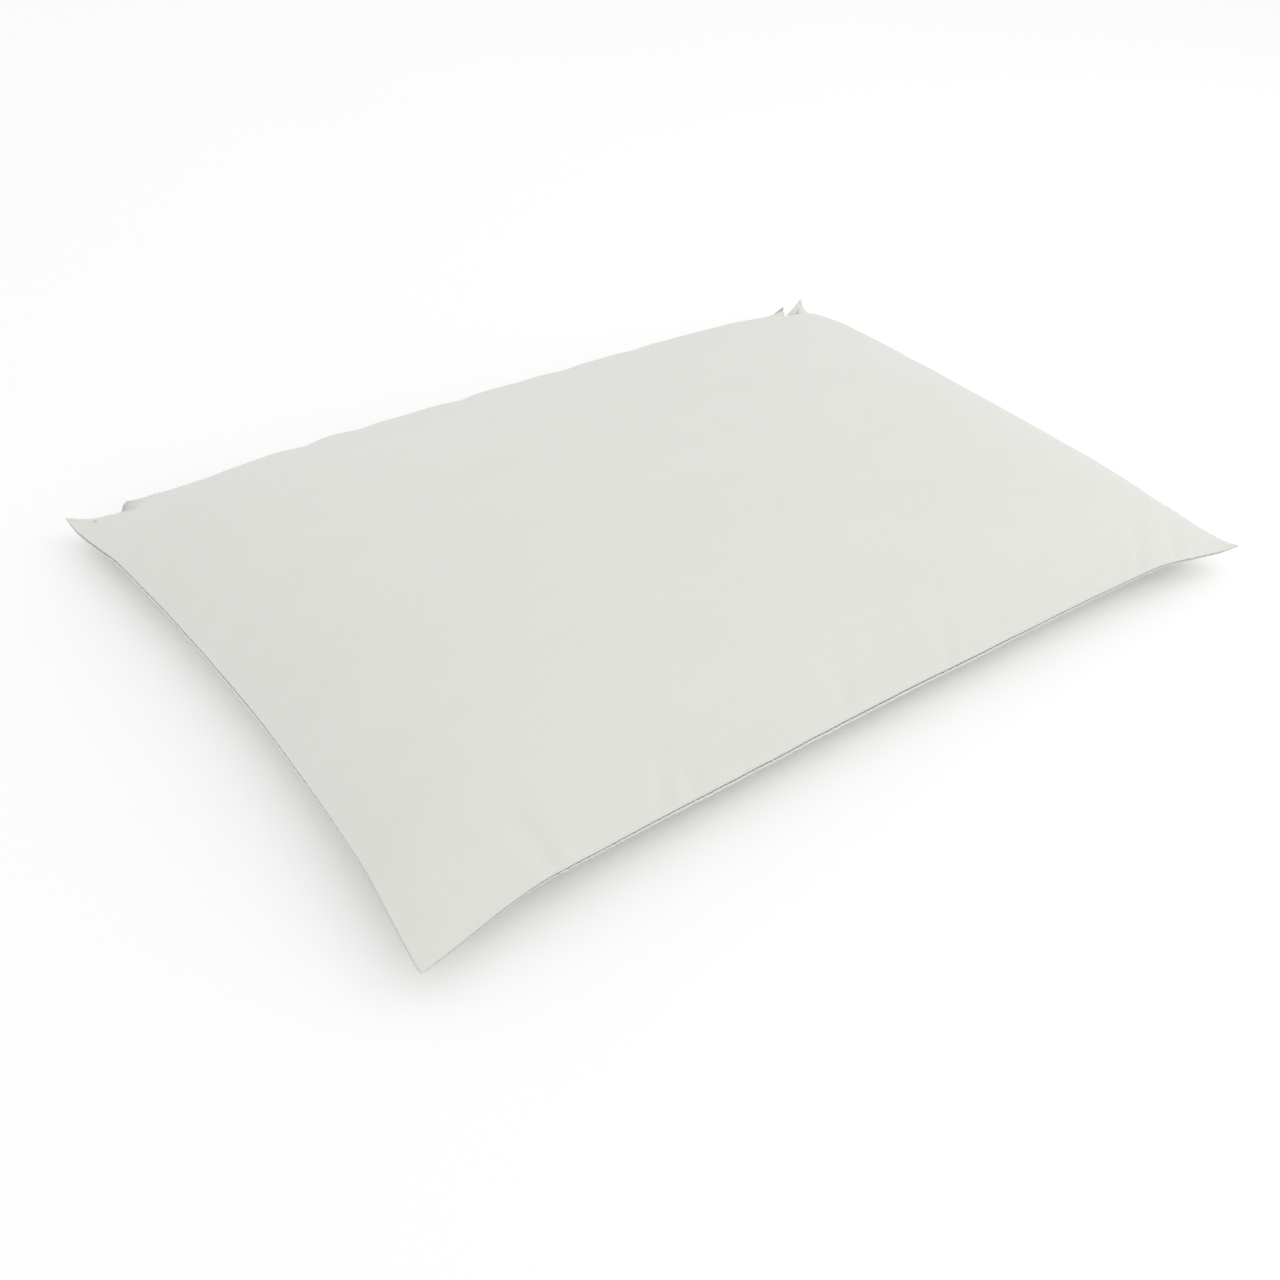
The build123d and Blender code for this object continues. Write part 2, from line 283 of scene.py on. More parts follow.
def blowUpCover(spec):
    """Blender's cloth, with pressure for the filling; the zip's edge is held straight."""
    u, v = gridPlaces(spec)
    flatX = u * spec["flatLength"] / 2
    flatY = v * spec["flatWidth"] / 2
    rng = np.random.default_rng(11)
    upper, lower = startHeights(u, v)
    ripple = rng.normal(0, spec["ripple"], u.shape)
    startX = flatX * 0.99
    startY = v * (halfWidth - spec["startDraw"] * (1 - np.abs(u) ** 10))
    zipEdge = (v == 1) & (np.abs(flatX) < zipHalf + spec["pinBeyond"])
    startX = np.where(zipEdge, flatX, startX)
    startY = np.where(zipEdge, zipY + spec["pinInset"], startY)
    top = np.stack([startX, startY, upper + ripple], -1)
    bottom = np.stack([startX, startY, lower], -1)
    top[zipEdge, 2] = seamZ
    count = u.size
    index = np.arange(count).reshape(u.shape)
    edge = (np.abs(u) == 1) | (np.abs(v) == 1)
    under = index.copy()
    under[~edge] = count + np.arange((~edge).sum())
    verts = np.concatenate([top.reshape(-1, 3), bottom[~edge]])
    flat = np.stack([flatX, flatY, np.zeros_like(u)], -1)
    rest = np.concatenate([flat.reshape(-1, 3), flat[~edge]])
    faces = np.concatenate([gridQuads(index, False), gridQuads(under, True)])
    cloth = meshObject("cover_sim", verts, faces)
    cloth.shape_key_add(name="start")
    restKey = cloth.shape_key_add(name="flat")
    restKey.data.foreach_set("co", rest.ravel())
    held = cloth.vertex_groups.new(name="held")
    held.add([int(i) for i in index[zipEdge]], 1.0, "REPLACE")
    bed = meshObject("bed_sim", [(-1, -1, 0), (1, -1, 0), (1, 1, 0), (-1, 1, 0)], [(0, 1, 2, 3)])
    bed.modifiers.new("bed", "COLLISION")
    bed.collision.thickness_outer = 0.001
    bed.collision.cloth_friction = 2
    filled = cloth.vertex_groups.new(name="filled")
    share = np.maximum(1 - emptyCorner(u, v), spec["leastFill"])
    numbers = np.r_[index.ravel(), under[~edge]].tolist()
    for number, weight in zip(numbers, np.r_[share.ravel(), share[~edge]].tolist()):
        filled.add([number], weight, "REPLACE")
    modifier = cloth.modifiers.new("cloth", "CLOTH")
    setting = modifier.settings
    setting.rest_shape_key = restKey
    setting.vertex_group_mass = "held"
    setting.vertex_group_pressure = "filled"
    setting.quality = 6
    setting.mass = spec["vertexMass"]
    setting.tension_stiffness = 15
    setting.compression_stiffness = 15
    setting.shear_stiffness = 5
    setting.bending_stiffness = 0.25
    setting.tension_damping = 5
    setting.compression_damping = 5
    setting.shear_damping = 5
    setting.bending_damping = 0.5
    setting.air_damping = 5
    setting.use_pressure = True
    setting.uniform_pressure_force = spec["pressure"]
    modifier.collision_settings.distance_min = 0.001
    frames = spec["frames"]
    scene.frame_start = 1
    scene.frame_end = frames
    modifier.point_cache.frame_end = frames
    for number in range(1, frames + 1):
        scene.frame_set(number)
    shaped = cloth.evaluated_get(bpy.context.evaluated_depsgraph_get())
    points = np.zeros(len(verts) * 3)
    shaped.data.vertices.foreach_get("co", points)
    points = points.reshape(-1, 3)
    bpy.data.objects.remove(cloth)
    bpy.data.objects.remove(bed)
    return points[index], points[under]


def calm(grid, rounds):
    """Each point moved to the mean of its neighbours, rounds times, with the edges kept."""
    for turn in range(rounds):
        middle = (grid[:-2, 1:-1] + grid[2:, 1:-1] + grid[1:-1, :-2] + grid[1:-1, 2:]) / 4
        grid = grid.copy()
        grid[1:-1, 1:-1] = middle
    return grid


def settle(grid, spec):
    """The grid calmed, then x -= pull u^3 (1 - v^2) at the ends and z += lift u^8 v^6 at the tips."""
    u, v = gridPlaces(spec)
    moved = calm(grid, spec["calmRounds"]).copy()
    moved[..., 0] -= spec["endPull"] * u ** 3 * (1 - v ** 2)
    moved[..., 2] += spec["tipLift"] * u ** 8 * v ** 6
    return moved


topGrid, bottomGrid = blowUpCover(coverSpec)
topGrid = settle(topGrid, coverSpec)
bottomGrid = settle(bottomGrid, coverSpec)
print("cover blown up, its crown at", round(float(topGrid[..., 2].max()) * 1000, 1), "mm")


# ---------- the cloth's cells made finer, and dense beside the seams ----------
seamSpec = {
    "near": (0.0, 0.11, 0.24, 0.4, 0.6, 0.8),   # extra lines beside an edge, in cells
    "step": 0.5,
    "tuck": 0.0016,           # the seam line lies this far inside the fabric's fold
    "swell": 0.0007,          # and the fold beside it stands this proud
    "gather": 0.00035,        # small puckers between stitches
    "gatherPitch": 0.0075,
    "foldAt": 0.0022,         # middle of the fold, inside the seam, and its half width
    "foldWide": 0.0050,
    "gatherAt": 0.003,
    "gatherWide": 0.007,
    "creaseFrom": 0.008,      # creases reach their depth this far from the seam
    "zipFrom": 0.011,         # the zip's parting fades out this far past the tapes
    "zipFade": 0.009,
    "slotReach": 0.020,       # and this far in from the edge
    "plainReach": 0.030,      # seam folds fade out towards the zip over this
    "plainFade": 0.020,
    "bedGap": 0.0004,
    "parting": 0.0002,        # half the gap between the two panels at the seam
    "partingReach": 0.004,
    "creaseShare": {1: 0.8, -1: 0.5},   # of the depths below, on the top and on the bottom
}


def cellLines(cells, spec):
    """Places along one axis of the grid, in cells, with extra lines near both ends."""
    near = np.array(spec["near"])
    middle = np.arange(1.0, cells - 1 + 1e-6, spec["step"])
    return np.concatenate([near, middle, cells - near[::-1]])


def resample(grid, lines, axis):
    """Catmull-Rom curve through the grid's rows, read at the given places along one axis."""
    rows = np.moveaxis(grid, axis, 0)
    last = rows.shape[0] - 1
    base = np.clip(np.floor(lines).astype(int), 0, last - 1)
    t = (lines - base)[:, None, None]
    before = rows[np.maximum(base - 1, 0)]
    start = rows[base]
    stop = rows[base + 1]
    after = rows[np.minimum(base + 2, last)]
    before = np.where((base == 0)[:, None, None], 2 * start - stop, before)
    after = np.where((base == last - 1)[:, None, None], 2 * stop - start, after)
    value = 0.5 * (
        2 * start
        + (stop - before) * t
        + (2 * before - 5 * start + 4 * stop - after) * t ** 2
        + (3 * start - before - 3 * stop + after) * t ** 3
    )
    return np.moveaxis(value, 0, axis)


def gridNormals(grid, sign):
    """Unit normals of a grid of points, from the cross product of its two slopes."""
    normal = np.cross(np.gradient(grid, axis=0), np.gradient(grid, axis=1))
    length = np.linalg.norm(normal, axis=-1, keepdims=True)
    return sign * normal / np.maximum(length, 1e-9)


linesX = cellLines(coverSpec["across"], seamSpec)
linesY = cellLines(coverSpec["deep"], seamSpec)
fineU = (linesX / coverSpec["across"] * 2 - 1)[:, None] * np.ones((1, linesY.size))
fineV = (linesY / coverSpec["deep"] * 2 - 1)[None, :] * np.ones((linesX.size, 1))
flatX = fineU * coverSpec["flatLength"] / 2
flatY = fineV * coverSpec["flatWidth"] / 2
endGap = coverSpec["flatLength"] / 2 - np.abs(flatX)
sideGap = coverSpec["flatWidth"] / 2 - np.abs(flatY)
seamGap = np.minimum(endGap, sideGap)      # distance to the seam, on the flat cloth


def hump(t):
    """1 at t = 0, falling to 0 at t = 1 either side."""
    return 1 - smoothStep(np.abs(t))


# side, place along it, lean, reach from the seam, depth, breadth; metres
creases = (
    ("front", -0.268, -0.25, 0.050, 0.0024, 0.008),
    ("front", -0.190, 0.30, 0.045, 0.0020, 0.007),
    ("front", -0.165, -0.20, 0.022, 0.0016, 0.006),
    ("front", -0.040, 0.10, 0.030, 0.0014, 0.008),
    ("front", 0.052, 0.20, 0.035, 0.0016, 0.007),
    ("front", 0.255, 0.55, 0.050, 0.0024, 0.009),
    ("front", 0.296, 0.65, 0.055, 0.0022, 0.009),
    ("back", -0.312, -0.30, 0.040, 0.0022, 0.010),
    ("back", -0.200, 0.25, 0.050, 0.0024, 0.011),
    ("back", -0.142, -0.10, 0.040, 0.0020, 0.010),
    ("back", -0.064, 0.20, 0.045, 0.0024, 0.012),
    ("back", 0.050, -0.20, 0.045, 0.0022, 0.011),
    ("back", 0.114, 0.10, 0.040, 0.0018, 0.010),
    ("back", 0.235, 0.30, 0.035, 0.0014, 0.009),
    ("right", 0.059, 0.20, 0.040, 0.0022, 0.010),
    ("right", 0.103, -0.25, 0.035, 0.0018, 0.008),
    ("right", 0.170, 0.15, 0.040, 0.0020, 0.010),
    ("right", -0.120, 0.30, 0.030, 0.0012, 0.008),
    ("left", -0.150, 0.20, 0.035, 0.0014, 0.009),
    ("left", 0.060, -0.15, 0.030, 0.0010, 0.009),
    ("left", 0.165, 0.30, 0.040, 0.0016, 0.009),
)


def creaseDepth():
    """Sum of soft creases that start at the seam and fade inward.

    Across a crease, with s = distance / breadth, the shape is (2 s^2 - 1) exp(-s^2).
    """
    total = np.zeros_like(flatX)
    for side, place, lean, reach, depth, breadth in creases:
        level = side in ("front", "back")
        along = flatX if level else flatY
        half = coverSpec["flatWidth"] / 2 if level else coverSpec["flatLength"] / 2
        outer = flatY if level else flatX
        gap = half + outer if side in ("front", "left") else half - outer
        s = (along - place - lean * gap) / (breadth * (1 + gap / reach))
        fade = np.exp(-((gap / reach) ** 2)) * smoothStep(gap / seamSpec["creaseFrom"])
        total += depth * fade * (2 * s ** 2 - 1) * np.exp(-(s ** 2))
    return total


def zipShare():
    """1 along the zip, falling to 0 just beyond its ends."""
    past = zipHalf + seamSpec["zipFrom"] - np.abs(flatX)
    return smoothStep(past / seamSpec["zipFade"]) * (flatY > 0)


def shapePanel(grid, sign, spec):
    """One panel from the blown-up cloth: finer, tucked in at its seam and parted at the zip.

    Along its normal it moves by the fold beside the seam, the gathers
    sin(2 pi x / pitch + 1.3 sin(61 x)) and the creases.
    """
    panel = resample(resample(grid, linesX, 0), linesY, 1)
    normal = gridNormals(panel, sign)
    inward = -panel * np.array([1.0, 1.0, 0.0])
    inward = inward / np.maximum(np.linalg.norm(inward, axis=-1, keepdims=True), 1e-6)
    atZip = zipShare()
    sewn = 1 - atZip * smoothStep((spec["plainReach"] - sideGap) / spec["plainFade"])
    fold = hump((seamGap - spec["foldAt"]) / spec["foldWide"]) * spec["swell"]
    along = np.where(sideGap < endGap, flatX, flatY)
    gather = np.sin(along * 2 * math.pi / spec["gatherPitch"] + 1.3 * np.sin(along * 61.0))
    gather = gather * hump((seamGap - spec["gatherAt"]) / spec["gatherWide"]) * spec["gather"]
    crease = creaseDepth() * spec["creaseShare"][sign]
    panel = panel + normal * ((fold + gather) * sewn + crease)[..., None]
    tuck = hump(seamGap / spec["tuck"]) * spec["tuck"] * sewn
    panel = panel + inward * tuck[..., None]
    slot = atZip * smoothStep(1 - sideGap / spec["slotReach"])
    panel[..., 2] += sign * coverSpec["slotHalf"] * slot
    panel[..., 2] = np.maximum(panel[..., 2], spec["bedGap"])
    apart = spec["parting"] * (1 - atZip) * hump(seamGap / spec["partingReach"])
    panel[..., 2] = np.maximum(panel[..., 2] + sign * apart, spec["bedGap"])
    return panel


def flatUv(thing, coords):
    """Writes the cloth's own flat coordinates, in metres, as the map the weave follows."""
    layer = thing.data.uv_layers.new(name="flat")
    loops = np.zeros(len(thing.data.loops), dtype=np.int32)
    thing.data.loops.foreach_get("vertex_index", loops)
    layer.data.foreach_set("uv", coords[loops].astype(np.float32).ravel())


def closedSheet(name, grid, sign, thickness, coords):
    """A panel with its thickness: the surface, its inner side and the rim between them."""
    inner = grid - gridNormals(grid, sign) * thickness
    count = grid.shape[0] * grid.shape[1]
    index = np.arange(count).reshape(grid.shape[:2])
    ring = np.concatenate([index[:, 0], index[-1, 1:], index[-2::-1, -1], index[0, -2:0:-1]])
    after = np.roll(ring, -1)
    rim = np.stack([ring, ring + count, after + count, after], -1)
    outer = gridQuads(index, sign < 0)
    faces = np.concatenate([outer, outer[:, ::-1] + count, rim[:, ::-1] if sign < 0 else rim])
    thing = meshObject(name, np.concatenate([grid.reshape(-1, 3), inner.reshape(-1, 3)]), faces)
    flatUv(thing, np.concatenate([coords, coords]))
    return thing


panelCoords = np.stack([flatX, flatY], -1).reshape(-1, 2)
topPanel = shapePanel(topGrid, 1, seamSpec)
bottomPanel = shapePanel(bottomGrid, -1, seamSpec)
coverTop = closedSheet("cover_top", topPanel, 1, coverSpec["fabric"], panelCoords)
coverBottom = closedSheet("cover_bottom", bottomPanel, -1, coverSpec["fabric"], panelCoords)
for cover, node in ((coverTop, "cover_top_panel"), (coverBottom, "cover_bottom_panel")):
    cover.data.materials.append(coverCotton)
    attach(cover, "pillow")
    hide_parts(node)
print("cover panels made")


# ---------- inside: the inner pillow and its filling ----------
innerSpec = {
    "size": (0.955, 0.945),   # share of the cover's length and width
    "height": 0.93,
    "floor": 0.0016,
    "fillSize": (0.94, 0.925),
    "fillHeight": 0.89,
    "fillFloor": 0.0030,
    "fabric": 0.0005,
    "parting": 0.0006,        # half the gap between its two panels at the seam
    "partingShare": 0.06,     # fading out over this share of the half size
    "calmRounds": 6,
}


def shrunk(grid, size, height, floor):
    """The cover's shape drawn in towards the seam's level plane, and off the bed."""
    small = grid * np.array([size[0], size[1], 1.0])
    small[..., 2] = seamZ + (grid[..., 2] - seamZ) * height
    small[..., 2] = np.maximum(small[..., 2], floor)
    return small


calmTop = calm(topGrid, innerSpec["calmRounds"])
calmBottom = calm(bottomGrid, innerSpec["calmRounds"])
innerU, innerV = gridPlaces(coverSpec)
innerCoords = np.stack([innerU * coverSpec["flatLength"] / 2, innerV * coverSpec["flatWidth"] / 2], -1)
innerCoords = innerCoords.reshape(-1, 2)
innerTop = shrunk(calmTop, innerSpec["size"], innerSpec["height"], innerSpec["floor"])
innerBottom = shrunk(calmBottom, innerSpec["size"], innerSpec["height"], innerSpec["floor"])
edgeShare = np.minimum(1 - np.abs(innerU), 1 - np.abs(innerV))
edgeLift = hump(edgeShare / innerSpec["partingShare"]) * innerSpec["parting"]
innerTop[..., 2] += edgeLift
innerBottom[..., 2] -= edgeLift
tickingTop = closedSheet("ticking_top", innerTop, 1, innerSpec["fabric"], innerCoords)
tickingBottom = closedSheet("ticking_bottom", innerBottom, -1, innerSpec["fabric"], innerCoords)
for ticking, node in ((tickingTop, "inner_ticking_top"), (tickingBottom, "inner_ticking_bottom")):
    ticking.data.materials.append(tickingCotton)
    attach(ticking, "pillow")
    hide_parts(node)


def fibreMaterial():
    """White fibre: soft clouds of noise for its colour and its surface."""
    material, tree, shader = newMaterial("fibre", {"Roughness": 0.95, "Sheen Weight": 0.3})
    place = makeNode(tree, "ShaderNodeTexCoord", output=3)
    cloud = makeNode(tree, "ShaderNodeTexNoise", None, {"Vector": place, "Scale": 90.0, "Detail": 6.0})
    colour = mixColours(tree, cloud, (0.82, 0.82, 0.82), (0.93, 0.93, 0.93))
    lumps = makeNode(tree, "ShaderNodeBump", None, {"Height": cloud, "Strength": 0.8, "Distance": 0.003})
    tree.links.new(colour.output, shader.inputs["Base Color"])
    tree.links.new(lumps.output, shader.inputs["Normal"])
    return material


def closedPad(name, upper, lower):
    """A closed body between two grids that share their edge."""
    edge = np.zeros(upper.shape[:2], dtype=bool)
    edge[[0, -1], :] = True
    edge[:, [0, -1]] = True
    count = upper.shape[0] * upper.shape[1]
    index = np.arange(count).reshape(upper.shape[:2])
    under = index.copy()
    under[~edge] = count + np.arange((~edge).sum())
    verts = np.concatenate([upper.reshape(-1, 3), lower[~edge]])
    return meshObject(name, verts, np.concatenate([gridQuads(index, False), gridQuads(under, True)]))


fillTop = shrunk(calmTop, innerSpec["fillSize"], innerSpec["fillHeight"], innerSpec["fillFloor"])
fillBottom = shrunk(calmBottom, innerSpec["fillSize"], innerSpec["fillHeight"], innerSpec["fillFloor"])
fill = closedPad("filling", fillTop, fillBottom)
fill.data.materials.append(fibreMaterial())
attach(fill, "pillow")
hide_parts("fibre_fill")
print("inner pillow made")


# ---------- sewing thread ----------
threadSpec = {
    "width": 0.00055,
    "length": 0.0026,
    "pitch": 0.0036,
    "colour": (0.80, 0.80, 0.775),
    "seamStandOff": 0.00005,
    "zipRow": 0.0055,         # the rows by the zip lie this far from the panels' edges
    "zipBeyond": 0.002,
}


def threadMaterial(spec):
    """Spun thread: fine slanting ridges of its twist."""
    material, tree, shader = newMaterial("sewing_thread", {"Roughness": 0.7, "Sheen Weight": 0.2})
    place = makeNode(tree, "ShaderNodeTexCoord", output=3)
    twist = makeNode(
        tree, "ShaderNodeTexWave", {"bands_direction": "DIAGONAL"}, {"Vector": place, "Scale": 900.0}, output=1
    )
    # colour darker in the grooves between the twist's ridges: painted shade
    shade = tuple(c * 0.9 for c in spec["colour"])
    colour = mixColours(tree, twist, shade, spec["colour"])
    ridges = makeNode(tree, "ShaderNodeBump", None, {"Height": twist, "Strength": 0.5, "Distance": 0.0001})
    tree.links.new(colour.output, shader.inputs["Base Color"])
    tree.links.new(ridges.output, shader.inputs["Normal"])
    return material


thread = threadMaterial(threadSpec)


def tubeRow(name, spine, up, girth):
    """Short six-sided tubes, one for each row of spine points, closed at both ends.

    A section's points are spine + girth * (side cos(a) + up sin(a)), with side = ahead x up.
    """
    ahead = np.gradient(spine, axis=1)
    ahead = ahead / np.linalg.norm(ahead, axis=-1, keepdims=True)
    up = np.cross(up, ahead) if up.ndim == 1 else up
    side = np.cross(ahead, up)
    around = np.linspace(0, 2 * math.pi, 6, endpoint=False)
    ring = side[:, :, None, :] * np.cos(around)[None, None, :, None]
    ring = ring + up[:, :, None, :] * np.sin(around)[None, None, :, None]
    points = spine[:, :, None, :] + ring * girth
    count, steps = spine.shape[:2]
    number = np.arange(count * steps * 6).reshape(count, steps, 6)
    after = np.roll(number, -1, axis=2)
    walls = np.stack([number[:, :-1], number[:, 1:], after[:, 1:], after[:, :-1]], -1).reshape(-1, 4)
    firstEnd = np.concatenate([number[:, 0, [0, 1, 2, 3]], number[:, 0, [3, 4, 5, 0]]])
    lastEnd = np.concatenate([number[:, -1, [3, 2, 1, 0]], number[:, -1, [0, 5, 4, 3]]])
    return meshObject(name, points, np.concatenate([walls, firstEnd, lastEnd]))


def stitchRow(name, path, normals, spec):
    """Stitches along a path, each arched as 1 - 4 (s - 1/2)^2 so that its ends dive into the cloth."""
    steps = np.linalg.norm(np.diff(path, axis=0), axis=1)
    travel = np.concatenate([[0], np.cumsum(steps)])
    starts = np.arange(spec["pitch"] / 2, travel[-1] - spec["length"], spec["pitch"])
    share = np.linspace(0, 1, 5)
    where = starts[:, None] + share[None, :] * spec["length"]
    spine = np.stack([np.interp(where, travel, path[:, k]) for k in range(3)], -1)
    up = np.stack([np.interp(where, travel, normals[:, k]) for k in range(3)], -1)
    up = up / np.linalg.norm(up, axis=-1, keepdims=True)
    arch = 1 - 4 * (share - 0.5) ** 2
    spine = spine + up * ((arch * 0.7 - 0.35) * spec["width"])[None, :, None]
    girth = (0.35 + 0.65 * np.sqrt(np.clip(arch, 0, 1)))[None, :, None, None] * spec["width"] / 2
    row = tubeRow(name, spine, up, girth)
    row.data.materials.append(thread)
    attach(row, "pillow")
    return row


def ringOf(grid):
    """Points round the edge of a grid, once, starting at the front left corner."""
    return np.concatenate([grid[:, 0], grid[-1, 1:], grid[-2::-1, -1], grid[0, -2:0:-1]])


def rowPath(panel, sign, gap, low, high):
    """The line on a panel at a given distance from the back edge, between two places along X."""
    rows = coverSpec["flatWidth"] / 2 - flatY[0]
    line = int(np.argmin(np.abs(rows - gap)))
    keep = (flatX[:, 0] > low) & (flatX[:, 0] < high)
    return panel[keep, line], gridNormals(panel, sign)[keep, line]


def seamPath():
    """The seam's line and its level outward direction, from one end of the zip round to the other."""
    seam = ringOf((topPanel + bottomPanel) / 2)
    flat = ringOf(np.stack([flatX, flatY], -1))
    atBack = flat[:, 1] > coverSpec["flatWidth"] / 2 - 1e-6
    byZip = atBack & (np.abs(flat[:, 0]) < zipHalf + seamSpec["zipFrom"])
    start = int(np.where(byZip & (flat[:, 0] < -zipHalf * 0.98))[0][-1])
    order = np.roll(np.arange(len(seam)), -start)
    line = seam[order[~byZip[order]]]
    ahead = np.gradient(line, axis=0)
    outward = np.stack([ahead[:, 1], -ahead[:, 0], np.zeros(len(line))], -1)
    outward = outward / np.linalg.norm(outward, axis=1, keepdims=True)
    middle = line[len(line) // 2]
    return line, outward * np.sign(outward[len(line) // 2] @ (middle * [1, 1, 0]))


seamLine, seamOut = seamPath()
seamStitches = stitchRow("seam_stitches", seamLine + seamOut * threadSpec["seamStandOff"], seamOut, threadSpec)
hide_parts("cover_seam_thread")
rowEnd = zipHalf + threadSpec["zipBeyond"]
for sign, panel, node in ((1, topPanel, "zip_stitching_upper"), (-1, bottomPanel, "zip_stitching_lower")):
    line, normals = rowPath(panel, sign, threadSpec["zipRow"], -rowEnd, rowEnd)
    row = stitchRow(node + "_look", line, normals, threadSpec)
    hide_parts(node)
innerLine = ringOf((innerTop + innerBottom) / 2)
innerLine = np.concatenate([innerLine, innerLine[:1]])
innerOut = innerLine * np.array([1.0, 1.0, 0.0])
innerThread = dict(threadSpec, pitch=0.006, length=0.004)
innerStitches = stitchRow("ticking_stitches", innerLine, innerOut, innerThread)
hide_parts("inner_seam_thread")
print("stitches made")


# ---------- zip ----------
zipSpec = {
    "pitch": 0.0024,          # from loop to loop of one row
    "wire": 0.00062,
    "endGap": 0.001,          # bare tape at each end of a row
    "bend": 0.15,             # a loop starts and stops this far round its half turn, radians
    "lean": 0.16,             # and leans by this share of the pitch
    "tape": (0.80, 0.80, 0.78),
    "coil": (0.72, 0.72, 0.71),
    "metal": (0.42, 0.42, 0.43),
    "tapePitch": 0.0006,
}


def wovenMaterial(name, colour, pitch):
    """Woven tape: ribs along X crossed by its weft, from two sine ridges in metres."""
    material, tree, shader = newMaterial(name, {"Roughness": 0.8, "Sheen Weight": 0.2})
    place = makeNode(tree, "ShaderNodeTexCoord", output=3)
    parts = tree.nodes.new("ShaderNodeSeparateXYZ")
    tree.links.new(place.output, parts.inputs[0])
    along = Socket(tree, parts.outputs[0])
    up = Socket(tree, parts.outputs[2])
    ribs = (along * (2 * math.pi / pitch)).sine() * (up * (2 * math.pi / pitch)).sine()
    cloud = makeNode(tree, "ShaderNodeTexNoise", None, {"Vector": place, "Scale": 700.0, "Detail": 3.0})
    height = ribs * 0.00004 + cloud * 0.00006
    bump = makeNode(tree, "ShaderNodeBump", None, {"Height": height, "Strength": 0.7, "Distance": 1.0})
    # colour clouded at random, and lighter on the ribs' crowns and darker between them: painted shade
    toneAndWeaveShade = 0.6 * cloud + 0.2 * ribs
    darker = tuple(c * 0.86 for c in colour)
    mixed = mixColours(tree, toneAndWeaveShade, darker, colour)
    tree.links.new(mixed.output, shader.inputs["Base Color"])
    tree.links.new(bump.output, shader.inputs["Normal"])
    return material


def metalMaterial(colour):
    """Satin die-cast metal: fine scratches along X in its roughness and its surface."""
    material, tree, shader = newMaterial("zip_metal", {"Metallic": 1.0})
    place = makeNode(tree, "ShaderNodeTexCoord", output=3)
    mapped = makeNode(tree, "ShaderNodeMapping", None, {0: place, 3: (90.0, 2500.0, 2500.0)})
    scratch = makeNode(tree, "ShaderNodeTexNoise", None, {"Vector": mapped, "Scale": 1.0, "Detail": 3.0})
    cloud = makeNode(tree, "ShaderNodeTexNoise", None, {"Vector": place, "Scale": 260.0, "Detail": 2.0})
    rough = 0.28 + 0.22 * scratch
    brighter = tuple(c * 1.25 for c in colour)
    mixed = mixColours(tree, cloud, colour, brighter)
    bump = makeNode(tree, "ShaderNodeBump", None, {"Height": scratch * 0.00002, "Strength": 0.5, "Distance": 1.0})
    tree.links.new(mixed.output, shader.inputs["Base Color"])
    tree.links.new(rough.output, shader.inputs["Roughness"])
    tree.links.new(bump.output, shader.inputs["Normal"])
    return material


def coilMaterial(colour):
    """Nylon wire: smooth, with a faint drawn grain."""
    material, tree, shader = newMaterial("zip_coil", {"Specular IOR Level": 0.5})
    place = makeNode(tree, "ShaderNodeTexCoord", output=3)
    cloud = makeNode(tree, "ShaderNodeTexNoise", None, {"Vector": place, "Scale": 1500.0, "Detail": 3.0})
    darker = tuple(c * 0.9 for c in colour)
    mixed = mixColours(tree, cloud, darker, colour)
    rough = 0.3 + 0.2 * cloud
    tree.links.new(mixed.output, shader.inputs["Base Color"])
    tree.links.new(rough.output, shader.inputs["Roughness"])
    return material


def coilRow(name, low, high, shift, side, spec):
    """Loops of wire standing on the tape, each a half ring that reaches towards the zip's middle.

    A loop's centre line is y = low.y + depth sin(t)^0.6, z = root + side * reach * (1 - cos(t)) / 2.
    """
    starts = np.arange(low.x + spec["endGap"] + shift, high.x - spec["endGap"], spec["pitch"])
    t = np.linspace(spec["bend"], math.pi - spec["bend"], 5)
    depth = high.y - low.y - spec["wire"]
    root = high.z if side < 0 else low.z
    reach = high.z - low.z
    y = low.y + spec["wire"] / 2 + depth * np.sin(t) ** 0.6
    z = root + side * (reach - spec["wire"] / 2) * (1 - np.cos(t)) / 2
    lean = np.linspace(-spec["lean"], spec["lean"], 5) * spec["pitch"]
    spine = np.stack(
        [
            starts[:, None] + lean[None, :],
            np.broadcast_to(y, (starts.size, 5)),
            np.broadcast_to(z, (starts.size, 5)),
        ],
        -1,
    )
    return tubeRow(name, spine, np.array([1.0, 0.0, 0.0]), spec["wire"] / 2)


tapeLook = wovenMaterial("zip_tape", zipSpec["tape"], zipSpec["tapePitch"])
metalLook = metalMaterial(zipSpec["metal"])
coilLook = coilMaterial(zipSpec["coil"])
coils = (
    ("coil_upper", coilLow, coilHigh, 0.0, -1, "zip_coil_upper"),
    ("coil_lower", lowerCoilLow, lowerCoilHigh, zipSpec["pitch"] / 2, 1, "zip_coil_lower"),
)
for name, low, high, shift, side, node in coils:
    row = coilRow(name, low, high, shift, side, zipSpec)
    row.data.materials.append(coilLook)
    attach(row, "pillow")
    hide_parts(node)
metalNodes = ("zip_slider_body", "zip_pull_tab", "zip_top_stops", "zip_bottom_stop")
looks = [(node, metalLook) for node in metalNodes]
looks += [("zip_tape_upper", tapeLook), ("zip_tape_lower", tapeLook)]
for node, look in looks:
    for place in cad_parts[node].material_slots:
        place.material = look
print("zip made")


